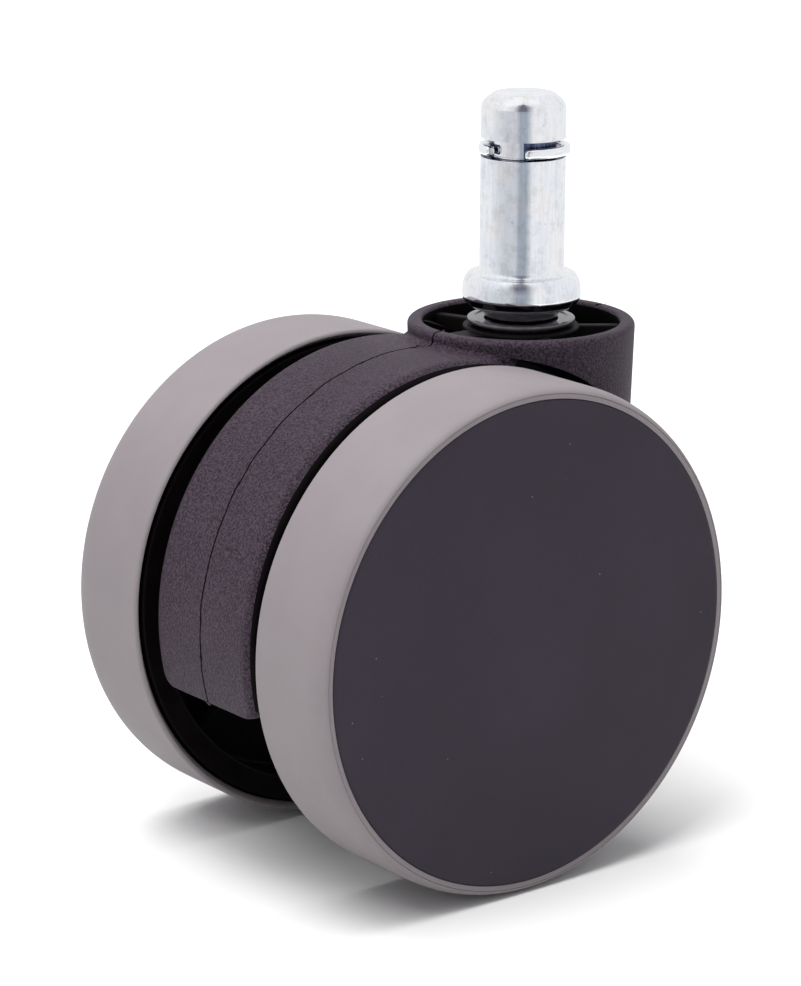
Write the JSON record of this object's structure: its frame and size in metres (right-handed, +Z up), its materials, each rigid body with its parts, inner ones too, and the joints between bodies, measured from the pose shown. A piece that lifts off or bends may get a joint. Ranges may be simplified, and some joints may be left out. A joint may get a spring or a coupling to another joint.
{
  "type": "twin-wheel swivel caster",
  "caption": "Office chair caster: steel grip-ring stem, hooded black nylon housing and soft grey treaded wheels on one axle.",
  "frame": {"origin": "on the swivel axis, level with the top of the stem's collar, where the chair's socket rests", "axes": "+Z up along the stem, +Y along the axle, the wheels trail towards -X"},
  "size_m": [0.0669, 0.053, 0.0958],
  "materials": {
    "zinc_steel": "bright zinc plated",
    "spring_steel": "polished spring steel",
    "housing_nylon": "spark-eroded grain, black",
    "core_nylon": "smooth moulded, black",
    "cover_plastic": "fine matte, black",
    "tread": "soft matte polyurethane, warm grey",
    "bush_nylon": "smooth moulded, dark grey"
  },
  "bodies": {
    "stem": {"stem": "zinc_steel", "grip_ring": "spring_steel", "stem_snap_ring": "spring_steel"},
    "housing": {"housing": "housing_nylon", "stem_bush": "bush_nylon", "thrust_ball": "spring_steel", "axle": "zinc_steel", "inner_washer_left": "zinc_steel", "outer_washer_left": "zinc_steel", "push_nut_left": "spring_steel", "inner_washer_right": "zinc_steel", "outer_washer_right": "zinc_steel", "push_nut_right": "spring_steel"},
    "wheel_left": {"tyre_left": "tread", "wheel_core_left": "core_nylon", "wheel_cover_left": "cover_plastic", "hub_bush_left": "bush_nylon"},
    "wheel_right": {"tyre_right": "tread", "wheel_core_right": "core_nylon", "wheel_cover_right": "cover_plastic", "hub_bush_right": "bush_nylon"}
  },
  "joints": [
    {"name": "swivel", "type": "hinge", "parent": "stem", "child": "housing", "pos_m": [0, 0, 0], "axis": [0, 0, 1], "continuous": true},
    {"name": "left_wheel_spin", "type": "hinge", "parent": "housing", "child": "wheel_left", "pos_m": [-0.0196, 0.0195, -0.04], "axis": [0, 1, 0], "continuous": true},
    {"name": "right_wheel_spin", "type": "hinge", "parent": "housing", "child": "wheel_right", "pos_m": [-0.0196, -0.0195, -0.04], "axis": [0, 1, 0], "continuous": true}
  ]
}
